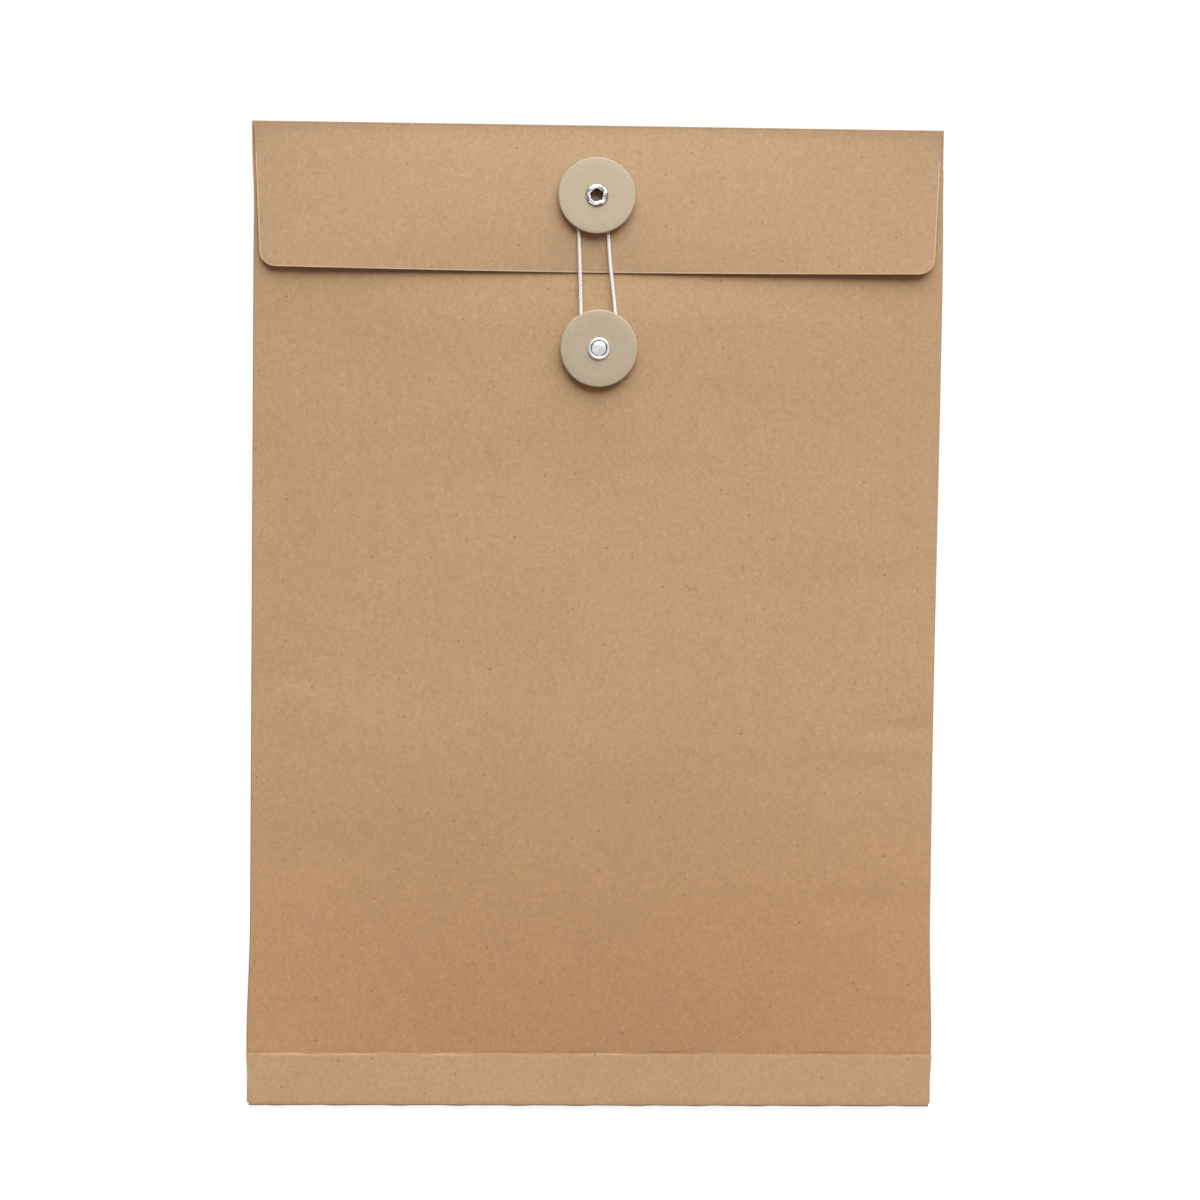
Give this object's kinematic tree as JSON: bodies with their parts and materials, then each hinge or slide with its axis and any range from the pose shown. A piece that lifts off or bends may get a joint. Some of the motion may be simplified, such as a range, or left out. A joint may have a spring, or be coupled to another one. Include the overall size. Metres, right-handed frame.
{
  "type": "string tie envelope",
  "caption": "Flat kraft paper document envelope with a folding top flap, held shut by a string wound between two round board discs.",
  "frame": {"origin": "middle of the face that the envelope lies on", "axes": "+Y up the page towards the flap's fold, +X to the right, +Z out of the front"},
  "size_m": [0.229, 0.326, 0.0097],
  "materials": {
    "kraft_paper": "matt, fine fibres and flecks",
    "seam_glue": "dry paste film",
    "disc_board": "matt grey-brown board",
    "nickel": "plated, slightly dulled",
    "washer_fibre": "matt pressed fibre",
    "tie_string": "twisted white cotton"
  },
  "bodies": {
    "pocket": {"back_panel": "kraft_paper", "front_panel": "kraft_paper", "right_side_tab": "kraft_paper", "left_side_tab": "kraft_paper", "right_side_glue": "seam_glue", "left_side_glue": "seam_glue", "bottom_seal_flap": "kraft_paper", "bottom_glue": "seam_glue", "lower_rivet": "nickel", "lower_backing_washer": "washer_fibre"},
    "flap": {"closure_flap": "kraft_paper", "upper_eyelet": "nickel", "upper_backing_washer": "washer_fibre", "string_tied_end": "tie_string", "string_right_strand": "tie_string", "string_lower_turn": "tie_string", "string_left_strand": "tie_string", "string_tucked_end": "tie_string"},
    "upper_disc": {"upper_disc": "disc_board"},
    "lower_disc": {"lower_disc": "disc_board"}
  },
  "joints": [
    {"name": "flap_fold", "type": "hinge", "parent": "pocket", "child": "flap", "pos_m": [0, 0.1625, 0.00065], "axis": [-1, 0, 0], "range_deg": [0, 155], "deforming": ["string_right_strand", "string_lower_turn", "string_left_strand", "string_tucked_end"]},
    {"name": "upper_disc_turn", "type": "hinge", "parent": "flap", "child": "upper_disc", "pos_m": [-0.0009, 0.13918, 0.00489], "axis": [0, 0.1123, 0.9937], "continuous": true},
    {"name": "lower_disc_turn", "type": "hinge", "parent": "pocket", "child": "lower_disc", "pos_m": [0.0002, 0.0893, 0.00635], "axis": [0, 0, 1], "continuous": true}
  ]
}
